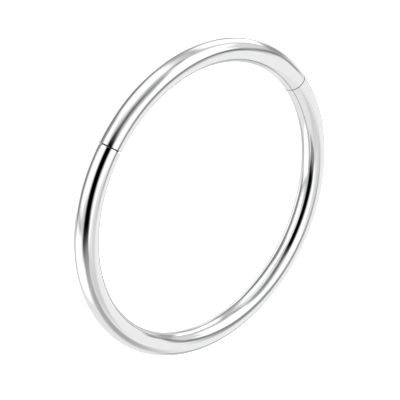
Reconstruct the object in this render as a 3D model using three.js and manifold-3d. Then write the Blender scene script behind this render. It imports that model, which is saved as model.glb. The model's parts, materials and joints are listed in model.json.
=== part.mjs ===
// A hinged segment ring for a piercing, closed and lying flat.
// Round polished wire is bent to a full circle. One stretch of it, the segment, swings out on a small pin
// at one end and slides over a tongue at the other.
// Millimetres, +Z up. The ring's own axis is +Z, and the segment faces -Y.
import * as THREE from 'three';
import { mergeVertices } from 'three/addons/utils/BufferGeometryUtils.js';
import Module from 'manifold-3d';

const wasm = await Module();
wasm.setup();

// The ring
const innerDiameter = 14;
const wireDiameter = 1.2;
const segmentAngle = THREE.MathUtils.degToRad(106);

// The hinge, at the segment's -X end
const hingeSetback = 0.45; // from the segment's end face back to the pin's axis
const pinDiameter = 0.26;
const eyeWall = 0.11; // metal around the pin's hole in the segment's eye
const hingeTongueThickness = 0.36;
const pinCover = 0.1; // metal left over the pin's blind upper end

// The clasp, at the segment's +X end
const claspTongueThickness = 0.48;
const claspTongueReach = 0.5;
const claspTongueRoot = 0.2; // how far the tongue is sunk in the ring's body
const claspInnerWall = 0.13; // of the wire's section left bare beside the tongue, towards the hole
const claspOuterWall = 0.21; // and away from the hole

// Clearances
const hingeFaceGap = 0.02;
const claspFaceGap = 0.06;
const slotGap = 0.02;
const socketGap = 0.02;
const socketTipGap = 0.06;
const pinRunningGap = 0.02;
const pinFitGap = 0.01;

// Facets
const wireSides = 24;
const stepAngle = THREE.MathUtils.degToRad(3.75);
const hingeSteps = 4; // how many steps of the wire the hinge takes up
const arcPoints = 6; // in each quarter turn of a small round

// Worked out from the sizes above
const wireRadius = wireDiameter / 2;
const ringRadius = (innerDiameter + wireDiameter) / 2;
const pinRadius = pinDiameter / 2;
const eyeRadius = pinRadius + pinRunningGap + eyeWall;
const pinOffset = wireRadius - eyeRadius; // outwards from the wire's middle, so that the eye ends flush
const pinTop = Math.sqrt(wireRadius ** 2 - pinOffset ** 2) - pinCover;
const segmentMiddle = THREE.MathUtils.degToRad(270);
const hingeSeam = segmentMiddle - segmentAngle / 2;
const claspSeam = segmentMiddle + segmentAngle / 2;
const fullTurn = 2 * Math.PI;
const clearOfWire = 2 * wireDiameter; // how far a cutting shape runs out of the wire

const pin = placeAt(hingeSeam, ringRadius + pinOffset, -hingeSetback);
const claspInner = ringRadius - wireRadius + claspInnerWall;
const claspOuter = ringRadius + wireRadius - claspOuterWall;
const claspArm = placeAt(claspSeam, claspInner, 0).sub(pin); // from the pin to the tongue's inner foot

// A point at an angle round the ring, at a distance from its centre and moved along the tangent
function placeAt(angle, radius, along) {
  const outwards = new THREE.Vector2(Math.cos(angle), Math.sin(angle));
  const tangent = new THREE.Vector2(-Math.sin(angle), Math.cos(angle));
  return outwards.multiplyScalar(radius).addScaledVector(tangent, along);
}

function toSolid(geometry) {
  geometry.deleteAttribute('normal');
  geometry.deleteAttribute('uv');
  const merged = mergeVertices(geometry, 1e-5);
  const vertProperties = new Float32Array(merged.attributes.position.array);
  const triVerts = new Uint32Array(merged.index.array);
  return new wasm.Manifold(new wasm.Mesh({ numProp: 3, vertProperties, triVerts }));
}

function toMesh(name, solid, material) {
  const { vertProperties, triVerts } = solid.getMesh();
  const geometry = new THREE.BufferGeometry();
  geometry.setAttribute('position', new THREE.BufferAttribute(vertProperties, 3));
  geometry.setIndex(new THREE.BufferAttribute(triVerts, 1));
  geometry.computeVertexNormals();
  const mesh = new THREE.Mesh(geometry, material);
  mesh.name = name;
  return mesh;
}

// The wire's middle line, from one angle round the ring to another
class RingLine extends THREE.Curve {
  constructor(from, to) {
    super();
    this.from = from;
    this.to = to;
  }
  getPoint(t) {
    const angle = this.from + t * (this.to - this.from);
    return new THREE.Vector3(ringRadius * Math.cos(angle), ringRadius * Math.sin(angle), 0);
  }
  getTangent(t) {
    const angle = this.from + t * (this.to - this.from);
    return new THREE.Vector3(-Math.sin(angle), Math.cos(angle), 0);
  }
}

function wireGeometry(from, to) {
  const section = new THREE.Shape().absarc(0, 0, wireRadius, 0, fullTurn);
  return new THREE.ExtrudeGeometry(section, {
    curveSegments: wireSides / 2,
    steps: Math.round((to - from) / stepAngle),
    extrudePath: new RingLine(from, to),
  });
}

// A flat outline standing from one height to another
function standing(shape, bottom, top) {
  const geometry = new THREE.ExtrudeGeometry(shape, {
    depth: top - bottom,
    bevelEnabled: false,
    curveSegments: arcPoints,
  });
  return geometry.translate(0, 0, bottom);
}

// An outline at the hinge: its x is outwards and its y along the wire to the segment, from the pin's axis
function atHinge(shape, bottom, top) {
  return toSolid(standing(shape, bottom, top).rotateZ(hingeSeam).translate(pin.x, pin.y, 0));
}

function roundAtHinge(radius, bottom, top) {
  const round = new THREE.CylinderGeometry(radius, radius, top - bottom, 4 * arcPoints);
  round.rotateX(Math.PI / 2).translate(0, 0, (top + bottom) / 2);
  return toSolid(round.rotateZ(hingeSeam).translate(pin.x, pin.y, 0));
}

// The segment's tongue: a round eye about the pin, with a straight neck to the segment
function tongueShape() {
  const shape = new THREE.Shape();
  shape.moveTo(eyeRadius, hingeSetback + wireRadius);
  shape.lineTo(-eyeRadius, hingeSetback + wireRadius);
  shape.lineTo(-eyeRadius, 0);
  shape.absarc(0, 0, eyeRadius, Math.PI, fullTurn);
  shape.closePath();
  return shape;
}

// The fork's slot: round about the pin on the inside, and open outwards, where the tongue swings
function slotShape() {
  const slotRadius = eyeRadius + slotGap;
  const shape = new THREE.Shape();
  shape.moveTo(clearOfWire, clearOfWire);
  shape.lineTo(-slotRadius, clearOfWire);
  shape.lineTo(-slotRadius, 0);
  shape.absarc(0, 0, slotRadius, Math.PI, 1.5 * Math.PI);
  shape.lineTo(clearOfWire, -slotRadius);
  shape.closePath();
  return shape;
}

// Everything behind the segment's end face, all across the wire
function behindSeamShape() {
  const shape = new THREE.Shape();
  shape.moveTo(-clearOfWire, -clearOfWire);
  shape.lineTo(clearOfWire, -clearOfWire);
  shape.lineTo(clearOfWire, hingeSetback);
  shape.lineTo(-clearOfWire, hingeSetback);
  shape.closePath();
  return shape;
}

// What is cut off the fork's outer corner, so that it is round about the pin
function forkCornerShape() {
  const noseRadius = hingeSetback - hingeFaceGap;
  const shape = new THREE.Shape();
  shape.moveTo(noseRadius, 0);
  shape.absarc(0, 0, noseRadius, 0, Math.PI / 2);
  shape.lineTo(0, noseRadius + clearOfWire);
  shape.lineTo(noseRadius + clearOfWire, noseRadius + clearOfWire);
  shape.lineTo(noseRadius + clearOfWire, 0);
  shape.closePath();
  return shape;
}

// A block between two arcs, standing equally above and below the wire's middle
function arcBlock(centre, inner, outer, from, to, halfThickness) {
  const shape = new THREE.Shape();
  shape.absarc(0, 0, outer, from, to);
  shape.absarc(0, 0, inner, to, from, true);
  shape.closePath();
  return toSolid(standing(shape, -halfThickness, halfThickness).translate(centre.x, centre.y, 0));
}

// The clasp's tongue, or its socket when there are gaps. It follows the wire, but its inner side is an arc
// about the hinge pin, so that it slides out as the segment swings.
function claspTongue(gap, tipGap) {
  const halfThickness = claspTongueThickness / 2 + gap;
  const tip = claspSeam - (claspTongueReach + tipGap) / ringRadius;
  const root = claspSeam + claspTongueRoot / ringRadius;
  const centre = new THREE.Vector2();
  const bar = arcBlock(centre, claspInner - gap, claspOuter + gap, tip, root, halfThickness);
  const swing = claspArm.length();
  const spread = clearOfWire / swing;
  const [from, to] = [claspArm.angle() - spread, claspArm.angle() + spread];
  return bar.intersect(arcBlock(pin, swing - gap, swing + clearOfWire, from, to, halfThickness));
}

function makeRingBody() {
  const gapAngle = hingeFaceGap / ringRadius;
  const slotHalf = hingeTongueThickness / 2 + slotGap;
  return toSolid(wireGeometry(claspSeam - fullTurn, hingeSeam - gapAngle))
    .add(claspTongue(0, 0))
    .subtract(atHinge(slotShape(), -slotHalf, slotHalf))
    .subtract(atHinge(forkCornerShape(), -clearOfWire, clearOfWire))
    .subtract(roundAtHinge(pinRadius + pinFitGap, -clearOfWire, pinTop + pinFitGap));
}

function makeSegment() {
  const tongueHalf = hingeTongueThickness / 2;
  const shoulders = atHinge(behindSeamShape(), -clearOfWire, clearOfWire)
    .subtract(atHinge(tongueShape(), -tongueHalf, tongueHalf));
  const claspTrim = claspFaceGap / ringRadius;
  return toSolid(wireGeometry(hingeSeam - hingeSteps * stepAngle, claspSeam - claspTrim))
    .subtract(shoulders)
    .subtract(roundAtHinge(pinRadius + pinRunningGap, -clearOfWire, clearOfWire))
    .subtract(claspTongue(socketGap, socketTipGap));
}

function makePin() {
  const from = hingeSeam - hingeSteps * stepAngle;
  return roundAtHinge(pinRadius, -clearOfWire, pinTop).intersect(toSolid(wireGeometry(from, hingeSeam)));
}

const mirrorSteel = new THREE.MeshStandardMaterial({ color: 0xdcdde0, metalness: 1, roughness: 0.06 });
const satinSteel = new THREE.MeshStandardMaterial({ color: 0xb8babe, metalness: 1, roughness: 0.25 });

const ring = new THREE.Group();
ring.add(toMesh('ring_body', makeRingBody(), mirrorSteel.clone()));
ring.add(toMesh('hinged_segment', makeSegment(), mirrorSteel.clone()));
ring.add(toMesh('hinge_pin', makePin(), satinSteel));
ring.position.set(0, 0, wireRadius);

export default ring;
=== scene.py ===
# %% [markdown]
# # A polished hinged segment ring
#
# The object is a small piercing ring of round wire, polished like a mirror. One stretch of the wire, the
# segment, swings out on a tiny pin at one end and shuts over a tongue at the other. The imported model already
# holds these pieces at their real size, but with 24 flat sides round the wire. A mirror shows every flat, so
# this lesson makes the same pieces again as fine surfaces, finishes them in steel, and lights them.

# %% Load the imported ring
import json
import math

import bpy
import numpy as np
from mathutils import Matrix, Vector


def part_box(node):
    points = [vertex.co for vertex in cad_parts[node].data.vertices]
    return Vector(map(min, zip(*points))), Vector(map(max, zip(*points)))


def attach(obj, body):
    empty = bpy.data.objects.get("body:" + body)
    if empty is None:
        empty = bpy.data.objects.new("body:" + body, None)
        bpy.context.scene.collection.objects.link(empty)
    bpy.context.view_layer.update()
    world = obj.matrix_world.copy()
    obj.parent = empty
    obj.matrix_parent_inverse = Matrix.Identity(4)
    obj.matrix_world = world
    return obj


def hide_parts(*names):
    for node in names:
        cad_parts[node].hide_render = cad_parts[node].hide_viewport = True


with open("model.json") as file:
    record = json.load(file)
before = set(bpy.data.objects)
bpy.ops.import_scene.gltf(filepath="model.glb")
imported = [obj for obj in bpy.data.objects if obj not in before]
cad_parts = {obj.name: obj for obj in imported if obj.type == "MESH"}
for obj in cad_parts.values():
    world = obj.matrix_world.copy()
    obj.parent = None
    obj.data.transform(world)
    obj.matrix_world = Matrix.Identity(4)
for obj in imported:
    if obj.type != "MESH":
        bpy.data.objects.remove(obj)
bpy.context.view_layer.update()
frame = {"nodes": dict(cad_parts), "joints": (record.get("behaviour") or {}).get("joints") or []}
print("nodes:", sorted(frame["nodes"]))

# %% [markdown]
# ## Sizes
#
# Nothing here is moved or resized, so the sizes are read back from the model. The ring lies flat: its height
# is the wire's diameter, and its width is the outer diameter. The hinge's axis is stated in the record. Only
# what can't be measured from outside, such as clearances, is repeated as a named value. Millimetres are
# easier to read than metres at this size, so shapes are worked out in millimetres about the ring's centre,
# and only the finished points are turned into metres.

# %% The ring's sizes, in millimetres
MM = 0.001
low, high = (np.array(corner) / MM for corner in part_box("ring_body"))
wire_radius = (high[2] - low[2]) / 2
ring_radius = (high[0] - low[0]) / 2 - wire_radius
ring_centre = np.array([(high[0] + low[0]) / 2, high[1] - ring_radius - wire_radius, wire_radius])
pin_place = np.array(frame["joints"][0]["pos_m"][:2]) / MM - ring_centre[:2]
print(f"wire {2 * wire_radius:.3f} mm, inside {2 * (ring_radius - wire_radius):.3f} mm, pin at {pin_place}")

# %% The hinge's and the clasp's own values, in millimetres
hinge_setback = 0.45  # from the segment's end face back to the pin's axis
hinge_face_gap = 0.02
pin_radius = 0.13
pin_hole_radius = 0.14  # in the ring's fork
eye_hole_radius = 0.15  # in the segment's eye
eye_radius = 0.26
pin_cover = 0.1  # metal left over the pin's hidden end
pin_end_gap = 0.01
pin_edge = 0.02  # radius of the rounded edge at its hidden end
hinge_tongue_half = 0.18
slot_gap = 0.02

clasp_face_gap = 0.06
clasp_tongue_half = 0.24
clasp_tongue_reach = 0.5
clasp_tongue_root = 0.2
clasp_tongue_corner = 0.05  # radius of its long edges
clasp_tongue_tip = 0.05  # and of its tip
clasp_inner_wall = 0.13
clasp_outer_wall = 0.21
socket_gap = 0.02
socket_tip_gap = 0.06

clasp_edge = 0.004  # radius of the rounded edges at the clasp
nick_depth = 0.16  # the body's edge is worn off this far at the outer lower side of the clasp
nick_place = math.radians(-45)  # where round the wire's section that is, up from straight outwards
nick_spread = math.radians(58)  # how far it reaches to either side
hinge_chamfer = 0.013  # how far the edges at the hinge are broken
clear_of_wire = 4 * wire_radius  # how far a cutting shape runs out of the wire
print(f"pin {2 * pin_radius:.2f} mm across, clasp tongue {clasp_tongue_reach:.2f} mm long")

# %% [markdown]
# ## Where the two joints lie
#
# The pin stands a little outwards from the wire's middle line and a little behind the hinge's seam. From its
# place the seam's angle round the ring follows, and the clasp is its mirror image. The shut segment carries
# on the ring's line, so that every reflection runs straight across both seams.

# %% Angles round the ring
pin_distance = math.hypot(*pin_place)
pin_offset = math.sqrt(pin_distance**2 - hinge_setback**2) - ring_radius
pin_angle = math.atan2(pin_place[1], pin_place[0]) % (2 * math.pi)
hinge_seam = pin_angle + math.asin(hinge_setback / pin_distance)
clasp_seam = 3 * math.pi - hinge_seam
pin_top = math.sqrt(wire_radius**2 - pin_offset**2) - pin_cover

clasp_inner = ring_radius - wire_radius + clasp_inner_wall
clasp_outer = ring_radius + wire_radius - clasp_outer_wall
clasp_foot = clasp_inner * np.array([math.cos(clasp_seam), math.sin(clasp_seam)])
swing_radius = math.hypot(*(clasp_foot - pin_place))
print(f"seams at {math.degrees(hinge_seam):.2f} and {math.degrees(clasp_seam):.2f} degrees")

# %% [markdown]
# ## A round wire as one surface
#
# A bent wire could be a curve object with a round bevel. But here its ends matter: each is a flat face with
# a rounded edge, and both seams show. So the wire is worked out as a grid instead: a circle carried along
# the ring, whose radius follows a profile near each end. Each row of the grid is one circle, and a pole in
# the middle of each end face closes the shape.

# %% The wire's grid
SIDES = 96
STEP = math.radians(0.5)
EDGE_STEPS = 6
AROUND = np.linspace(0, 2 * math.pi, SIDES, endpoint=False)
FACE_RINGS = np.array([0.35, 0.7, 0.97])  # circles on an end face, as shares of its radius


def end_profile(edge):
    """Radii and distances along the wire of the rows at one end: flat face first, then a quarter round.

    The edge's radius is given for each side round the wire. On the quarter round, turned through the
    angle a, the radius is (wire radius - edge) + edge * sin(a)**p, and the distance from the end face is
    edge * (1 - cos(a)**p). The power p is 1 on a fine edge and nears 2 on a large one, which is a
    straight cut, as wear makes it.
    """
    turn = np.linspace(0, math.pi / 2, EDGE_STEPS)[:, None]
    flat = wire_radius - edge
    power = 1 + np.minimum(1, edge / nick_depth)
    radii = np.concatenate([flat * FACE_RINGS[:, None], flat + edge * np.sin(turn) ** power])
    along = np.concatenate([np.zeros((len(FACE_RINGS), SIDES)), edge * (1 - np.cos(turn) ** power)])
    return radii, along


def wire_point(angle, radius, around):
    """The point at an angle round the ring, on a circle of that radius about the wire's middle line.

    x and y are (ring radius + radius * cos(around)) times the cosine and sine of the angle,
    and z is radius * sin(around).
    """
    out = ring_radius + radius * np.cos(around)
    return np.stack([out * np.cos(angle), out * np.sin(angle), radius * np.sin(around)], axis=-1)


def tube_faces(rows, sides):
    """Faces between the rows of a closed tube, and a fan onto a pole at each end (the last two points)."""
    row, side = np.meshgrid(np.arange(rows - 1), np.arange(sides), indexing="ij")
    after = (side + 1) % sides
    corners = [row * sides + side, (row + 1) * sides + side, (row + 1) * sides + after, row * sides + after]
    quads = np.stack(corners, axis=-1).reshape(-1, 4)
    around = np.arange(sides)
    onward = (around + 1) % sides
    pole = np.full(sides, rows * sides)
    last = (rows - 1) * sides
    first_fan = np.stack([pole, around, onward], axis=-1)
    last_fan = np.stack([pole + 1, last + onward, last + around], axis=-1)
    return quads.tolist() + first_fan.tolist() + last_fan.tolist()


# %% A wire as an object


def new_object(name, points, faces):
    """An object in the scene, made from points and faces."""
    mesh = bpy.data.meshes.new(name)
    mesh.from_pydata(points.tolist(), [], faces)
    made = bpy.data.objects.new(name, mesh)
    bpy.context.scene.collection.objects.link(made)
    return made


def make_wire(name, start, end, start_edge, end_edge):
    """A wire from one angle round the ring to another. Its edges' radii are given round the section."""
    first_radii, first_along = end_profile(start_edge)
    last_radii, last_along = end_profile(end_edge)
    inner_start, inner_end = start + start_edge.max() / ring_radius, end - end_edge.max() / ring_radius
    count = round((inner_end - inner_start) / STEP)
    middle = np.linspace(inner_start, inner_end, count + 1)[1:-1, None] + np.zeros(SIDES)
    first_angles, last_angles = start + first_along / ring_radius, end - last_along[::-1] / ring_radius
    angles = np.concatenate([first_angles, middle, last_angles])
    radii = np.concatenate([first_radii, np.full(middle.shape, wire_radius), last_radii[::-1]])
    points = wire_point(angles, radii, AROUND).reshape(-1, 3)
    poles = wire_point(np.array([start, end]), np.zeros(2), np.zeros(2))
    return new_object(name, np.concatenate([points, poles]), tube_faces(len(angles), SIDES))


# %% [markdown]
# ## Shapes that cut and join
#
# The fork, the eye and the socket are the wire with something taken away. Modelling each by hand would lose
# the true round of the wire, so plain standing blocks and cylinders are worked out, and a Boolean modifier
# takes them away. Every block runs well out of the wire, so that no two surfaces lie on each other.

# %% Outlines of the cutting tools
ARC_STEPS = 24


def arc(radius, start, end, steps=ARC_STEPS):
    """Points on a circle about the origin: radius times the cosine and sine of evenly spaced angles."""
    turn = np.linspace(start, end, steps + 1)
    return radius * np.stack([np.cos(turn), np.sin(turn)], axis=-1)


def to_hinge(outline):
    """From the hinge's own axes (x outwards, y along the wire to the segment, from the pin) to the ring's."""
    outwards = np.array([math.cos(hinge_seam), math.sin(hinge_seam)])
    onwards = np.array([-math.sin(hinge_seam), math.cos(hinge_seam)])
    return pin_place + outline[:, :1] * outwards + outline[:, 1:] * onwards


# %% Blocks, and how they cut


def standing_block(name, outline, bottom, top):
    """A flat outline, listed counterclockwise, that stands from one height to another."""
    count = len(outline)
    heights = np.repeat([bottom, top], count)
    points = np.column_stack([np.concatenate([outline, outline]), heights])
    low_ring = np.arange(count)
    onward = (low_ring + 1) % count
    walls = np.stack([low_ring, onward, onward + count, low_ring + count], axis=-1)
    faces = [low_ring[::-1].tolist(), (low_ring + count).tolist(), *walls.tolist()]
    return new_object(name, points, faces)


def combine(piece, tool, operation):
    """Joins or cuts a piece with a tool, keeps the result as the piece's mesh, and deletes the tool."""
    modifier = piece.modifiers.new(operation.lower(), "BOOLEAN")
    modifier.operation = operation
    modifier.solver = "MANIFOLD"
    modifier.object = tool
    evaluated = piece.evaluated_get(bpy.context.evaluated_depsgraph_get())
    result = bpy.data.meshes.new_from_object(evaluated)
    piece.modifiers.clear()
    before = piece.data
    piece.data = result
    for unused in (before, tool.data):
        bpy.data.meshes.remove(unused)


# %% [markdown]
# ## The chamfer at the hinge
#
# On the real ring the two faces of the hinge meet in a hair-thin line, because the edges are broken by
# polishing. A Bevel modifier would have to find those edges among thousands, so a thin ring with a square
# section, standing on its corner, is cut out of both pieces along the seam.

# %% A thin ring that breaks the edges along the hinge's seam


def seam_groove(angle, half_width):
    """A ring about the wire: its section is a square on its corner, centred on the wire's surface.

    Going round that section, the distance from the surface is half_width * cos(c) and the distance
    along the wire is half_width * sin(c), for c of 0, 90, 180 and 270 degrees.
    """
    corner = np.arange(4) * math.pi / 2
    around = AROUND + math.pi / SIDES
    radius = wire_radius + half_width * np.cos(corner)[None, :]
    place = angle + half_width * np.sin(corner)[None, :] / ring_radius
    points = wire_point(place, radius, around[:, None]).reshape(-1, 3)
    row, side = np.meshgrid(np.arange(SIDES), np.arange(4), indexing="ij")
    next_row, next_side = (row + 1) % SIDES, (side + 1) % 4
    corners = [row * 4 + side, row * 4 + next_side, next_row * 4 + next_side, next_row * 4 + side]
    return new_object("seam_groove", points, np.stack(corners, axis=-1).reshape(-1, 4).tolist())


# %% [markdown]
# ## The clasp's tongue
#
# The tongue follows the wire, but its inner side is an arc about the pin, so that it slides straight out of
# its socket as the segment swings. Its section is a rectangle with rounded corners, carried along the wire,
# and it shrinks over the last stretch to a rounded tip. The socket is the same shape with a gap all round.

# %% The tongue's section
TONGUE_ROWS = 24
CORNER_STEPS = 5


def tongue_bounds(angles, gap):
    """Inner and outer radius of the tongue at each angle round the ring.

    The inner one is the larger of the wall's circle and the swing's circle about the pin. A ray from
    the ring's centre meets that circle at p + sqrt(s * s - d * d + p * p), where p is the pin's place
    along the ray, d its distance from the centre and s the swing's radius.
    """
    along_ray = pin_place[0] * np.cos(angles) + pin_place[1] * np.sin(angles)
    swing = along_ray + np.sqrt((swing_radius - gap) ** 2 - pin_distance**2 + along_ray**2)
    return np.maximum(clasp_inner - gap, swing), np.full(len(angles), clasp_outer + gap)


def rounded_section(corner, inner, outer, half):
    """Rows of rectangles with rounded corners, as distances from the ring's axis and heights.

    Each corner is a quarter circle about a point that lies one corner radius inside both sides.
    """
    quarter = np.linspace(0, math.pi / 2, CORNER_STEPS)
    turn = np.concatenate([quarter + k * math.pi / 2 for k in range(4)])
    side = np.repeat([1, -1, -1, 1], CORNER_STEPS)
    up = np.repeat([1, 1, -1, -1], CORNER_STEPS)
    middle, half_width = (inner + outer) / 2, (outer - inner) / 2
    out = middle + side * (half_width - corner) + corner * np.cos(turn)
    height = up * (half - corner) + corner * np.sin(turn)
    return out, height


# %% The tongue and its socket, carried along the wire


def clasp_tongue(name, gap, tip_gap):
    """The tongue, or its socket where there are gaps, from inside the ring's body to its tip.

    The tip's last rows pull in as a quarter round: at the share t of the rounding, the section has
    shrunk by the tip's radius * (1 - sqrt(1 - t * t)) all round.
    """
    root = clasp_seam + clasp_tongue_root / ring_radius
    tip = clasp_seam - (clasp_tongue_reach + tip_gap) / ring_radius
    share = np.sin(np.linspace(0, math.pi / 2, CORNER_STEPS))
    rounding = tip + clasp_tongue_tip / ring_radius * (1 - share)
    angles = np.concatenate([np.linspace(root, rounding[0], TONGUE_ROWS), rounding[1:]])
    shrink = np.zeros(len(angles))
    shrink[-CORNER_STEPS:] = clasp_tongue_tip * (1 - np.sqrt(1 - share**2))
    inner, outer = tongue_bounds(angles, gap)
    inner, outer = (inner + shrink)[:, None], (outer - shrink)[:, None]
    half = (clasp_tongue_half + gap - shrink)[:, None]
    out, height = rounded_section(clasp_tongue_corner, inner, outer, half)
    turn = angles[:, None]
    points = np.stack([out * np.cos(turn), out * np.sin(turn), height], axis=-1)
    poles = points[[0, -1]].mean(axis=1)
    points = np.concatenate([points.reshape(-1, 3), poles])
    faces = tube_faces(len(angles), 4 * CORNER_STEPS)
    return new_object(name, points, [face[::-1] for face in faces])


# %% [markdown]
# ## The longer stretch of wire
#
# Its hinge end is a fork: a slot for the segment's eye, open outwards so that the eye can swing, a round
# nose that clears the segment's face, and a blind hole for the pin that is drilled from below. Its clasp end
# carries the tongue.

# %% Make the ring's wire


def nicked_edge():
    """The edge's radius round the wire: clasp_edge, rising to nick_depth as a bell of 1 + cos.

    At the distance d from the nick's place it is clasp_edge plus half the rise times
    1 + cos(pi * d / spread).
    """
    beside = (AROUND - nick_place + math.pi) % (2 * math.pi) - math.pi
    bell = (1 + np.cos(np.pi * np.clip(beside / nick_spread, -1, 1))) / 2
    return clasp_edge + (nick_depth - clasp_edge) * bell


slot_radius = eye_radius + slot_gap
slot_outline = to_hinge(np.concatenate([
    [[clear_of_wire, clear_of_wire], [-slot_radius, clear_of_wire]],
    arc(slot_radius, math.pi, 1.5 * math.pi),
    [[clear_of_wire, -slot_radius]],
]))
nose_radius = hinge_setback - hinge_face_gap
nose_outline = to_hinge(np.concatenate([
    arc(nose_radius, math.pi / 2, 0),
    [[nose_radius + clear_of_wire, 0]],
    [[nose_radius + clear_of_wire, nose_radius + clear_of_wire]],
    [[0, nose_radius + clear_of_wire]],
]))
hole_outline = to_hinge(arc(pin_hole_radius, 0, 2 * math.pi)[:-1])

ring_end = hinge_seam - hinge_face_gap / ring_radius
slot_half = hinge_tongue_half + slot_gap
even_edge = np.full(SIDES, clasp_edge)
ring_wire = make_wire("ring_wire", clasp_seam - 2 * math.pi, ring_end, nicked_edge(), even_edge)
combine(ring_wire, clasp_tongue("clasp_tongue", 0, 0), "UNION")
combine(ring_wire, seam_groove(ring_end, hinge_chamfer), "DIFFERENCE")
combine(ring_wire, standing_block("slot", slot_outline, -slot_half, slot_half), "DIFFERENCE")
combine(ring_wire, standing_block("nose", nose_outline, -clear_of_wire, clear_of_wire), "DIFFERENCE")
hole_top = pin_top + pin_end_gap
combine(ring_wire, standing_block("hole", hole_outline, -clear_of_wire, hole_top), "DIFFERENCE")
print("ring_wire:", len(ring_wire.data.vertices), "vertices")

# %% [markdown]
# ## The segment
#
# The segment is the same wire. Behind its end face everything but the tongue with its eye is cut away, and
# the clasp's socket is cut in the other end.

# %% Make the segment's wire
behind_outline = to_hinge(np.array([
    [-clear_of_wire, -clear_of_wire],
    [clear_of_wire, -clear_of_wire],
    [clear_of_wire, hinge_setback],
    [-clear_of_wire, hinge_setback],
]))
eye_outline = to_hinge(np.concatenate([
    [[eye_radius, hinge_setback + wire_radius], [-eye_radius, hinge_setback + wire_radius]],
    arc(eye_radius, math.pi, 2 * math.pi),
]))
eye_hole_outline = to_hinge(arc(eye_hole_radius, 0, 2 * math.pi)[:-1])

hinge_allowance = math.radians(15)  # wire behind the seam, from which the tongue is cut
segment_end = clasp_seam - clasp_face_gap / ring_radius
segment_wire = make_wire("segment_wire", hinge_seam - hinge_allowance, segment_end, even_edge, even_edge)
shoulders = standing_block("shoulders", behind_outline, -clear_of_wire, clear_of_wire)
eye = standing_block("eye", eye_outline, -hinge_tongue_half, hinge_tongue_half)
combine(shoulders, eye, "DIFFERENCE")
combine(segment_wire, seam_groove(hinge_seam, hinge_chamfer), "DIFFERENCE")
combine(segment_wire, shoulders, "DIFFERENCE")
eye_hole = standing_block("eye_hole", eye_hole_outline, -clear_of_wire, clear_of_wire)
combine(segment_wire, eye_hole, "DIFFERENCE")
combine(segment_wire, clasp_tongue("socket", socket_gap, socket_tip_gap), "DIFFERENCE")
print("segment_wire:", len(segment_wire.data.vertices), "vertices")

# %% [markdown]
# ## The hinge pin
#
# The pin is 0.26 mm across. Its upper end is hidden, and its lower end is ground flush with the wire after it
# has been pressed in, so it takes the wire's own curve. That is one formula: the height of the wire's
# underside at each point of a disc.

# %% Make the pin
PIN_SIDES = 48


def wire_underside(flat_points):
    """Height of the wire's lower surface: minus the root of wire radius squared less offset squared.

    The offset is how far a point, seen from above, lies from the wire's middle line.
    """
    offset = np.hypot(flat_points[..., 0], flat_points[..., 1]) - ring_radius
    return -np.sqrt(wire_radius**2 - offset**2)


def make_pin(name):
    """Rows of circles about the pin's axis: the flush lower face, the side, a rounded edge, the top."""
    turn = np.linspace(0, math.pi / 2, EDGE_STEPS)
    top_radius = pin_radius - pin_edge
    lower = pin_radius * np.array([0.33, 0.67, 1.0])
    upper = np.concatenate([top_radius + pin_edge * np.cos(turn), top_radius * FACE_RINGS[::-1]])
    around = np.linspace(0, 2 * math.pi, PIN_SIDES, endpoint=False)
    radii = np.concatenate([lower, upper])[:, None]
    flat = pin_place + np.stack([radii * np.cos(around), radii * np.sin(around)], axis=-1)
    rise = np.concatenate([pin_top - pin_edge * (1 - np.sin(turn)), np.full(len(FACE_RINGS), pin_top)])
    high_rows = np.broadcast_to(rise[:, None], (len(upper), PIN_SIDES))
    height = np.concatenate([wire_underside(flat[: len(lower)]), high_rows])
    points = np.concatenate([flat, height[..., None]], axis=-1).reshape(-1, 3)
    foot = [*pin_place, wire_underside(pin_place)]
    points = np.concatenate([points, [foot, [*pin_place, pin_top]]])
    faces = tube_faces(len(radii), PIN_SIDES)
    return new_object(name, points, [face[::-1] for face in faces])


pin_piece = make_pin("hinge_pin_fine")
print("pin:", len(pin_piece.data.vertices), "vertices")

# %% [markdown]
# ## Shading a mirror
#
# Blender works out how a smooth surface shades from its faces. Where a cut has left slivers beside large
# faces that goes slightly wrong, and a mirror shows it as a kink in every reflection. The wire's true
# direction is known from its formula, so each corner of a face on the wire is told its normal outright.
# All other faces keep Blender's own normals, with sharp edges where they meet at more than 35 degrees.
#
# The same step stores two attributes at each point. One is its place on the wire as if it were unbent: the
# distance along the wire and the place in its section, because polishing marks run along the wire. The other
# says how darkly painted shade covers it, standing in for the shade inside the joints' gaps.

# %% What counts as polished, and where the painted shade lies, in millimetres and cosines
SMOOTH_ANGLE = math.radians(35)
ON_WIRE, WIRE_FACING = 0.001, 0.9  # how near the true surface a face lies, and how far outwards it turns
POLISH_DEPTH = 0.02  # how far in from the surface the polish reaches
POLISH_FACING = 0.8  # a face on an edge is polished if it turns at least this far outwards
WORN_FACING = 0.2  # the nick is worn smooth nearly to its bottom
RIM_PAINTED_SHADE, RIM_FADE = 0.32, 0.22  # painted shade in the gaps: how deep it reaches into the joints, and over what depth it thins out
ROOT_PAINTED_SHADE, ROOT_FADE = 0.1, 0.04  # and the same along the tongue, from its root

# %% Where a point lies on the wire


def wire_section(points):
    """The place in the wire's section, outwards and up from its middle line, and the way outwards."""
    distance = np.hypot(points[:, 0], points[:, 1])
    outwards = np.column_stack([points[:, 0] / distance, points[:, 1] / distance, np.zeros(len(points))])
    return distance - ring_radius, points[:, 2], outwards


def wire_normals(points):
    """The wire's normal at each point: the direction from its middle line, in the wire's section."""
    out, up, outwards = wire_section(points)
    normals = outwards * out[:, None]
    normals[:, 2] = up
    return normals / np.linalg.norm(normals, axis=1)[:, None]


def wire_depth(points):
    """How deep each point lies in the wire: its radius less the point's distance from its middle line."""
    out, up, _ = wire_section(points)
    return wire_radius - np.hypot(out, up)


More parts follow.
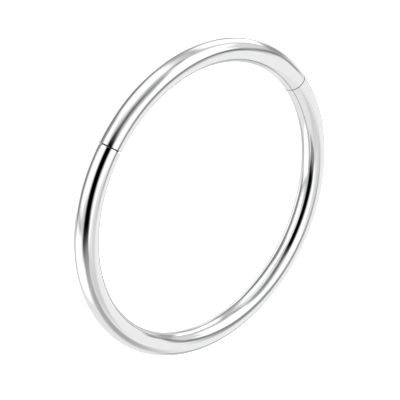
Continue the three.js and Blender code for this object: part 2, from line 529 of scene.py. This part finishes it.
def along_wire(points, piece_middle):
    """Distance along the wire from the piece's middle: the angle from there times the ring's radius.

    The angle is brought between minus and plus half a turn, so the jump lies opposite the piece.
    """
    angle = np.arctan2(points[:, 1], points[:, 0]) - piece_middle
    return ((angle + math.pi) % (2 * math.pi) - math.pi) * ring_radius


# %% Which faces belong to a joint, and where the painted shade lies


def inside_joints(centres, facing):
    """Which faces belong to a joint: those that lie deep or turn away, but not the worn nick."""
    beyond_clasp = along_wire(centres, clasp_seam)
    worn_edge = (beyond_clasp > 0) & (beyond_clasp < nick_depth) & (facing > WORN_FACING)
    return ((wire_depth(centres) > POLISH_DEPTH) | (facing < POLISH_FACING)) & ~worn_edge


def painted_gap_shade_at(points, root_painted_shade):
    """Painted shade for the joints' gaps: 1 in their outer rim, falling evenly to 0 further in, at the rim's
    depth.

    Round the tongue's root it reaches as far along the wire as the second argument says.
    """
    in_rim = (RIM_PAINTED_SHADE - wire_depth(points)) / RIM_FADE
    at_root = (root_painted_shade - np.abs(along_wire(points, clasp_seam))) / ROOT_FADE
    return np.clip(np.maximum(in_rim, at_root), 0, 1)


# %% Mesh data as arrays


def read(collection, name, width=1, kind=np.float32):
    """Reads one attribute of all vertices, loops or polygons into an array."""
    values = np.zeros(len(collection) * width, kind)
    collection.foreach_get(name, values)
    return values.reshape(-1, width) if width > 1 else values


def store(mesh, name, kind, field, values):
    """Keeps a value for each point of a mesh as a named attribute."""
    attribute = mesh.attributes.new(name, kind, "POINT")
    attribute.data.foreach_set(field, values.astype(np.float32).ravel())


def place(piece, points):
    """Puts finished points into the mesh, in metres, and marks its sharp edges."""
    mesh = piece.data
    mesh.vertices.foreach_set("co", ((points + ring_centre) * MM).astype(np.float32).ravel())
    mesh.polygons.foreach_set("use_smooth", np.ones(len(mesh.polygons), bool))
    mesh.update()
    mesh.set_sharp_from_angle(angle=SMOOTH_ANGLE)


# %% Finish both wires, and put the pin in place


def finish_wire(piece, piece_middle, root_painted_shade):
    """Sets the normals, the material areas and both attributes, and places the piece."""
    mesh = piece.data
    points = read(mesh.vertices, "co", 3).astype(float)
    corner_vertex = read(mesh.loops, "vertex_index", kind=np.int32)
    corner_count = read(mesh.polygons, "loop_total", kind=np.int32)
    face_of_corner = np.repeat(np.arange(len(corner_count)), corner_count)
    deepest = np.zeros(len(corner_count))
    np.maximum.at(deepest, face_of_corner, np.abs(wire_depth(points))[corner_vertex])

    centres = read(mesh.polygons, "center", 3).astype(float)
    facing = np.einsum("ij,ij->i", wire_normals(centres), read(mesh.polygons, "normal", 3))
    on_wire = (deepest < ON_WIRE) & (facing > WIRE_FACING)
    joint_face = inside_joints(centres, facing)
    mesh.materials.clear()  # the Boolean modifier leaves an empty slot
    mesh.polygons.foreach_set("material_index", joint_face.astype(np.int32))

    out, up, _ = wire_section(points)
    unbent = np.column_stack([along_wire(points, piece_middle), out, up])
    store(mesh, "unbent_mm", "FLOAT_VECTOR", "vector", unbent)
    # painted shade: how darkly each point is painted to stand in for the shade inside the joints' gaps
    store(mesh, "painted_gap_shade", "FLOAT", "value", painted_gap_shade_at(points, root_painted_shade))

    normals = np.where(on_wire[face_of_corner][:, None], wire_normals(points)[corner_vertex], 0)
    place(piece, points)
    mesh.normals_split_custom_set(normals.tolist())
    print(piece.name, "faces:", len(corner_count), "on the wire:", int(on_wire.sum()),
          "inside the joints:", int(joint_face.sum()))


segment_middle = (hinge_seam + clasp_seam) / 2
finish_wire(ring_wire, segment_middle - math.pi, ROOT_PAINTED_SHADE)
finish_wire(segment_wire, segment_middle, 0)
place(pin_piece, read(pin_piece.data.vertices, "co", 3).astype(float))

# %% [markdown]
# ## Finishes
#
# The wire is surgical steel under a mirror polish. Seen close up, even a mirror has faint hairlines along the
# polishing direction, a roughness that comes and goes, and a soft waviness from the buffing wheel. Those are
# three noise textures of different scale. They stay so weak that they only break the reflections' edges.
# The faces inside the joints aren't polished: they keep the dull grey of a cut face, and a near-black painted
# shade covers them where the joints are open to the outside, standing in for the shade inside the gaps. That
# is why the shut clasp shows as a black line.

# %% Node helpers


def add(tree, kind, **inputs):
    """Adds a node and sets inputs by name: a socket is linked, and anything else is its value."""
    made = tree.nodes.new(kind)
    for name, value in inputs.items():
        target = made.inputs[int(name[1:])] if name[0] == "_" else made.inputs[name.replace("_", " ")]
        if isinstance(value, bpy.types.NodeSocket):
            tree.links.new(value, target)
        else:
            target.default_value = value
    return made


def noise(tree, coordinates, scale, detail=2.0):
    """A noise between 0 and 1 that goes through one swing in about 1 / scale of its coordinates."""
    made = add(tree, "ShaderNodeTexNoise", Vector=coordinates, Scale=scale, Detail=detail)
    return made.outputs["Fac"]


def remap(tree, value, low_out, high_out, low_in=0.35, high_in=0.65):
    """Stretches a range of values, by default where most of a noise lies, to another range."""
    made = add(tree, "ShaderNodeMapRange", Value=value, From_Min=low_in, From_Max=high_in,
               To_Min=low_out, To_Max=high_out)
    return made.outputs["Result"]


# %% Steel, and marks that run along the wire


def new_steel(name):
    """A metal material with its node tree, its shader, and the unbent wire's coordinates."""
    material = bpy.data.materials.new(name)
    material.use_nodes = True
    tree = material.node_tree
    shader = tree.nodes["Principled BSDF"]
    shader.inputs["Metallic"].default_value = 1.0
    unbent = tree.nodes.new("ShaderNodeAttribute")
    unbent.attribute_name = "unbent_mm"
    return material, tree, shader, unbent.outputs["Vector"]


def stretched(tree, coordinates, along, across):
    """Coordinates for marks that run along the wire: small steps along it, large ones across it."""
    made = add(tree, "ShaderNodeMapping", Vector=coordinates)
    made.inputs["Scale"].default_value = (along, across, across)
    return made.outputs["Vector"]


def tint(tree, factor, dark, light):
    """A colour between two greys, steered by a factor from 0 to 1."""
    ramp = add(tree, "ShaderNodeValToRGB", Fac=factor)
    for stop, grey in zip(ramp.color_ramp.elements, (dark, light)):
        stop.color = (*grey, 1)
    return ramp.outputs["Color"]


# %% The mirror polish
polished, tree, shader, unbent = new_steel("polished_wire_steel")
hairlines = noise(tree, stretched(tree, unbent, 0.8, 90), 1.0, 3.0)
clouds = noise(tree, unbent, 0.9, 3.0)
waves = noise(tree, unbent, 0.55, 0.0)
steel = tint(tree, clouds, (0.645, 0.647, 0.652), (0.675, 0.676, 0.68))
tree.links.new(steel, shader.inputs["Base Color"])
haze = remap(tree, clouds, 0.03, 0.05)
worn = add(tree, "ShaderNodeMath", _0=haze, _1=remap(tree, hairlines, 0.0, 0.02, 0.6, 0.75))
tree.links.new(worn.outputs["Value"], shader.inputs["Roughness"])
wave_bump = add(tree, "ShaderNodeBump", Height=waves, Strength=1.0, Distance=2.0e-6)
hair_bump = add(tree, "ShaderNodeBump", Height=hairlines, Strength=0.4, Distance=6.0e-8)
tree.links.new(wave_bump.outputs["Normal"], hair_bump.inputs["Normal"])
tree.links.new(hair_bump.outputs["Normal"], shader.inputs["Normal"])
print("finish of the wire:", polished.name)

# %% The cut faces inside the joints, and the pin
cut_steel, tree, shader, unbent = new_steel("cut_face_steel")
marks = noise(tree, stretched(tree, unbent, 60, 14), 1.0, 4.0)
satin = tint(tree, marks, (0.34, 0.345, 0.355), (0.46, 0.465, 0.475))
# painted shade: a near-black grey laid over the cut faces at the joints' open rim, standing in for the shade
# inside the gaps
painted_shade_grey = tint(tree, marks, (0.03, 0.03, 0.031), (0.06, 0.06, 0.062))
painted_gap_shade = tree.nodes.new("ShaderNodeAttribute")
painted_gap_shade.attribute_name = "painted_gap_shade"
satin_under_painted_shade = add(tree, "ShaderNodeMix", _0=painted_gap_shade.outputs["Fac"], _6=satin, _7=painted_shade_grey)
satin_under_painted_shade.data_type = "RGBA"
tree.links.new(satin_under_painted_shade.outputs[2], shader.inputs["Base Color"])
tree.links.new(remap(tree, marks, 0.42, 0.6), shader.inputs["Roughness"])

pin_steel, tree, shader, _ = new_steel("pin_satin_steel")
own = tree.nodes.new("ShaderNodeTexCoord").outputs["Object"]
grain = noise(tree, own, 45000.0, 3.0)
tree.links.new(tint(tree, grain, (0.66, 0.67, 0.69), (0.76, 0.77, 0.79)), shader.inputs["Base Color"])
tree.links.new(remap(tree, grain, 0.2, 0.32), shader.inputs["Roughness"])

for piece in (ring_wire, segment_wire):
    piece.data.materials.append(polished)
    piece.data.materials.append(cut_steel)
pin_piece.data.materials.append(pin_steel)
print("finish inside the joints:", cut_steel.name, "and of the pin:", pin_steel.name)

# %% [markdown]
# ## Riding on the bodies
#
# The ring's body and its pin stay, and the segment swings. Each fine piece stands for the plain solid of the
# same shape, which the motion model keeps.

# %% Each piece rides on a body and stands for a node
for piece, body, node, slot in (
    (ring_wire, "ring", "ring_body", "polished_wire"),
    (segment_wire, "segment", "hinged_segment", "polished_wire"),
    (pin_piece, "ring", "hinge_pin", "pin_steel"),
):
    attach(piece, body)
    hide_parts(node)
    print(piece.name, "rides on", body, "and stands for", node)

# %% [markdown]
# ## The studio
#
# A mirror has no look of its own: what shows is the studio round it. It is a white tent with one black card,
# which gives the crisp dark line along the wire, and grey panels and seams, which give the soft bands. It
# stands so close that the near and the far side of the ring see the card at different heights, so it can't
# be a world shader, which is endlessly far away. It is a dome about the ring instead, and each card is a
# soft-edged patch on it in azimuth and elevation, in degrees. Only reflections see the dome. The floor gets
# its light from a plain white world.

# %% The dome's own coordinates
DOME_RADIUS = 9 * ring_radius
DOME_SIDES, DOME_ROWS = 64, 31


def calculate(tree, operation, first, second=0.0, third=0.0):
    """One step of arithmetic, as a Math node."""
    made = add(tree, "ShaderNodeMath", _0=first, _1=second, _2=third)
    made.operation = operation
    return made.outputs["Value"]


def dome_material(name):
    """A material of bare nodes, with the azimuth of each point round the ring's centre in degrees."""
    material = bpy.data.materials.new(name)
    material.use_nodes = True
    tree = material.node_tree
    tree.nodes.clear()
    split = add(tree, "ShaderNodeSeparateXYZ", _0=tree.nodes.new("ShaderNodeTexCoord").outputs["Object"])
    azimuth = calculate(tree, "DEGREES", calculate(tree, "ARCTAN2", split.outputs["Y"], split.outputs["X"]))
    return material, tree, azimuth, split


tent, tent_tree, tent_azimuth, tent_split = dome_material("studio_tent")
rise_share = calculate(tent_tree, "DIVIDE", tent_split.outputs["Z"], DOME_RADIUS * MM)
tent_elevation = calculate(tent_tree, "DEGREES", calculate(tent_tree, "ARCSINE", rise_share))

# %% One soft-edged card


def band(tree, value, start, end, fade):
    """1 between start and end, falling softly to 0 over the fade, which is centred on each edge."""
    rise = add(tree, "ShaderNodeMapRange", Value=value, From_Min=start - fade / 2, From_Max=start + fade / 2)
    fall = add(tree, "ShaderNodeMapRange", Value=value, From_Min=end + fade / 2, From_Max=end - fade / 2)
    for made in (rise, fall):
        made.interpolation_type = "SMOOTHSTEP"
    return calculate(tree, "MULTIPLY", rise.outputs["Result"], fall.outputs["Result"])


def azimuth_band(tree, azimuth, start, end, fade):
    """The same for an azimuth: it is measured from the band's middle, and so passes 180 degrees safely."""
    half = (end - start) / 2
    beside = calculate(tree, "SUBTRACT", azimuth, (start + end) / 2)
    return band(tree, calculate(tree, "WRAP", beside, 180.0, -180.0), -half, half, fade)


def card(under, brightness, azimuths, elevations, fades):
    """Lays a card of one brightness over what is there, within a range of azimuth and of elevation."""
    across = azimuth_band(tent_tree, tent_azimuth, *azimuths, fades[0])
    mask = calculate(tent_tree, "MULTIPLY", across, band(tent_tree, tent_elevation, *elevations, fades[1]))
    return add(tent_tree, "ShaderNodeMix", _0=mask, _2=under, _3=brightness).outputs[0]


# %% Lay out the cards
LAMP_POWER = 1.4  # makes up for the third of the light that steel swallows
WHITE = 1.2  # the lamps, and the tent's own cloth where no card lies
BLACK = 0.0
cards = (
    # brightness, azimuths, elevations, fades of the edges in azimuth and in elevation
    (0.82, (46, 118), (-64, 90), (24, 20)),  # right wall
    (0.90, (112, 186), (-30, 56), (14, 16)),  # back wall
    (0.72, (96, 192), (-85, -34), (20, 18)),  # its foot, on the table
    (0.70, (96, 192), (52, 76), (20, 16)),  # the slope above it
    (0.67, (58, 120), (43, 60), (20, 12)),  # fold between right wall and ceiling
    (0.32, (-174, -158), (-22, 10), (9, 14)),  # seam of the tent's opening
    (0.24, (-174, -158), (8, 36), (9, 10)),  # the seam higher up
    (0.22, (-179, -160), (34, 60), (12, 14)),  # and its upper end
    (0.50, (26, 118), (-70, -50), (16, 14)),  # table, to the right
    (0.48, (-126, 30), (-64, 58), (20, 26)),  # left and front wall
    (0.28, (137, 190), (51, 68), (22, 14)),  # grey panel high up at the back
    (WHITE, (-153, -100), (16, 64), (16, 14)),  # big lamp cloth
    (0.72, (-164, -144), (8, 34), (10, 12)),  # its turned-back side
    (0.60, (-113, -103), (-22, 14), (6, 12)),  # its stand
    (0.28, (-108, -96), (6, 22), (8, 12)),  # its cut corner
    (0.55, (-160, -112), (2, 11), (10, 8)),  # the edge below it
    (WHITE, (-158, -120), (-30, 2), (12, 14)),  # low lamp on the left
    (WHITE, (-101, 5), (-41, 12), (18, 28)),  # low lamp in front
    (0.74, (-62, -42), (-2, 12), (14, 10)),  # a clip on its upper edge
    (0.68, (-8, 12), (-8, 14), (14, 12)),  # and another
    (WHITE, (14, 56), (-54, 4), (10, 24)),  # low lamp on the right
    (0.34, (-98, -60), (28, 47), (22, 18)),  # grey panel beside the black card
    (0.22, (-68, -40), (20, 38), (16, 16)),  # the shade between them
    (0.02, (-82, -44), (33, 38), (16, 6)),  # the black card's long corner
    (0.33, (-60, -36), (-56, -33), (12, 20)),  # a cloth that hangs over the front lamp's lower edge
    (0.24, (-128, 30), (-76, -48), (22, 14)),  # table, in shade towards the front
    (0.34, (-152, -116), (-60, -36), (18, 14)),  # its left corner
    (0.42, (-180, -146), (-46, -30), (12, 12)),  # and its edge further back
    (0.28, (14, 50), (18, 52), (16, 12)),  # dark panel on the black card's right
    (0.60, (116, 172), (-34, -6), (16, 14)),  # fold at the foot of the back wall
    (0.62, (108, 126), (-12, 8), (12, 12)),  # grey board in front of it
    (0.30, (108, 134), (0, 7), (10, 5)),  # the board's upper edge
    (0.34, (178, 188), (0, 18), (8, 6)),  # clamp on the tent's opening
    (0.50, (166, 192), (-32, -14), (14, 12)),  # stand below it
    (BLACK, (-49, 28), (12, 52), (20, 16)),  # the black card
)
brightness = calculate(tent_tree, "ADD", 0.0, WHITE)
for row in cards:
    brightness = card(brightness, *row)
glow = add(tent_tree, "ShaderNodeEmission", Color=brightness, Strength=LAMP_POWER)
tent_output = tent_tree.nodes.new("ShaderNodeOutputMaterial")
tent_tree.links.new(glow.outputs["Emission"], tent_output.inputs["Surface"])
print("cards on the tent:", len(cards))

# %% Build the dome


def only_reflected(thing, material):
    """Studio gear that shows in reflections alone, and casts no shadow on the floor."""
    thing.location = ring_centre * MM
    thing.data.materials.append(material)
    thing.visible_camera = thing.visible_diffuse = thing.visible_shadow = thing.visible_transmission = False


rise = np.linspace(-math.pi / 2, math.pi / 2, DOME_ROWS + 2)[1:-1, None]
turn = np.linspace(0, 2 * math.pi, DOME_SIDES, endpoint=False)[None, :]
heights = np.broadcast_to(np.sin(rise), (DOME_ROWS, DOME_SIDES))
shell = np.stack([np.cos(rise) * np.cos(turn), np.cos(rise) * np.sin(turn), heights], axis=-1)
shell = np.concatenate([shell.reshape(-1, 3), [[0, 0, -1], [0, 0, 1]]]) * DOME_RADIUS * MM
dome = new_object("studio_dome", shell, tube_faces(DOME_ROWS, DOME_SIDES))
only_reflected(dome, tent)
print(f"dome: {DOME_RADIUS:.0f} mm about the ring")

# %% [markdown]
# One thing stands closer than the tent: a low grey strip beside the ring. From the near side of the wire it
# is a broad band, and from the far side a hairline just over the horizon. It is a bent sheet whose edges
# fade to nothing, so it mixes a transparent shader with its grey.

# %% The low grey strip
STRIP_RADIUS = 1.3 * ring_radius
STRIP_GREY = 0.42
STRIP_AZIMUTHS, STRIP_END_FADE = (12, 76), 36
STRIP_HEIGHTS, STRIP_EDGE_FADE = (0.13, 0.43), 0.14  # over the ring's middle, as shares of its radius
STRIP_STEPS = 48

grey, grey_tree, strip_azimuth, strip_split = dome_material("grey_strip")
strip_bottom, strip_top, edge_fade = (share * ring_radius * MM for share in (*STRIP_HEIGHTS, STRIP_EDGE_FADE))
upright = band(grey_tree, strip_split.outputs["Z"], strip_bottom, strip_top, edge_fade)
ends = azimuth_band(grey_tree, strip_azimuth, *STRIP_AZIMUTHS, STRIP_END_FADE)
strip_mask = calculate(grey_tree, "MULTIPLY", upright, ends)
clear = grey_tree.nodes.new("ShaderNodeBsdfTransparent").outputs["BSDF"]
strip_glow = add(grey_tree, "ShaderNodeEmission", Color=(STRIP_GREY, STRIP_GREY, STRIP_GREY, 1),
                 Strength=LAMP_POWER).outputs["Emission"]
mixed = add(grey_tree, "ShaderNodeMixShader", _0=strip_mask, _1=clear, _2=strip_glow)
strip_output = grey_tree.nodes.new("ShaderNodeOutputMaterial")
grey_tree.links.new(mixed.outputs["Shader"], strip_output.inputs["Surface"])

strip_start, strip_end = STRIP_AZIMUTHS[0] - STRIP_END_FADE, STRIP_AZIMUTHS[1] + STRIP_END_FADE
turn = np.radians(np.linspace(strip_start, strip_end, STRIP_STEPS))
edge = STRIP_RADIUS * np.stack([np.cos(turn), np.sin(turn)], axis=-1)
lower = np.column_stack([edge, np.zeros(STRIP_STEPS)])
upper = np.column_stack([edge, np.full(STRIP_STEPS, (STRIP_HEIGHTS[1] + STRIP_EDGE_FADE) * ring_radius)])
step = np.arange(STRIP_STEPS - 1)
sheet_faces = np.stack([step, step + 1, step + 1 + STRIP_STEPS, step + STRIP_STEPS], axis=-1).tolist()
strip = new_object("grey_strip", np.concatenate([lower, upper]) * MM, sheet_faces)
only_reflected(strip, grey)
print(f"strip: {STRIP_RADIUS:.1f} mm from the ring's centre")

# %% The white world that lights the floor
FLOOR_LIGHT = 6.0
world = bpy.data.worlds.new("studio")
world.use_nodes = True
background = world.node_tree.nodes["Background"]
background.inputs["Color"].default_value = (1, 1, 1, 1)
background.inputs["Strength"].default_value = FLOOR_LIGHT
bpy.context.scene.world = world
print("light on the floor:", FLOOR_LIGHT)

# %% [markdown]
# ## Floor, camera and colour
#
# The floor is a plain white sheet under the ring. It is lit so brightly that it comes out as white paper
# does in a catalogue photograph. The camera stands where the photograph was taken from, seen from the ring:
# well above its plane and turned on its side, with a long lens. Blender's Standard view keeps white white.

# %% The floor
floor_size = 2.0
corners = np.array([[-1, -1, 0], [1, -1, 0], [1, 1, 0], [-1, 1, 0]])
floor_points = corners * floor_size / 2
floor = new_object("floor", floor_points, [[0, 1, 2, 3]])
paper = bpy.data.materials.new("white_paper")
paper.use_nodes = True
paper_shader = paper.node_tree.nodes["Principled BSDF"]
paper_shader.inputs["Base Color"].default_value = (0.92, 0.92, 0.92, 1)
paper_shader.inputs["Roughness"].default_value = 0.9
paper_shader.inputs["Specular IOR Level"].default_value = 0.0
floor.data.materials.append(paper)
floor.visible_glossy = False
print("floor:", floor_size, "m square")

# %% The camera
ring_radii_away = np.array([9.70907, -6.73019, 10.38806])  # this and both directions fit the ring's outline
camera_place = ring_radii_away * ring_radius + ring_centre
camera_right = Vector((-0.73197, 0.0, 0.68133))
camera_back = Vector((0.61570, -0.42824, 0.66146))
camera = bpy.data.objects.new("camera", bpy.data.cameras.new("camera"))
bpy.context.scene.collection.objects.link(camera)
camera.data.lens = 219.2
camera.data.sensor_width = 36.0
camera.data.clip_start, camera.data.clip_end = 0.001, 10.0
camera_up = camera_back.cross(camera_right)
turn = Matrix((camera_right, camera_up, camera_back)).transposed().to_4x4()
camera.matrix_world = Matrix.Translation(Vector(camera_place * MM)) @ turn
bpy.context.scene.camera = camera
bpy.context.scene.view_settings.view_transform = "Standard"
print("camera at", np.round(camera_place), "mm")
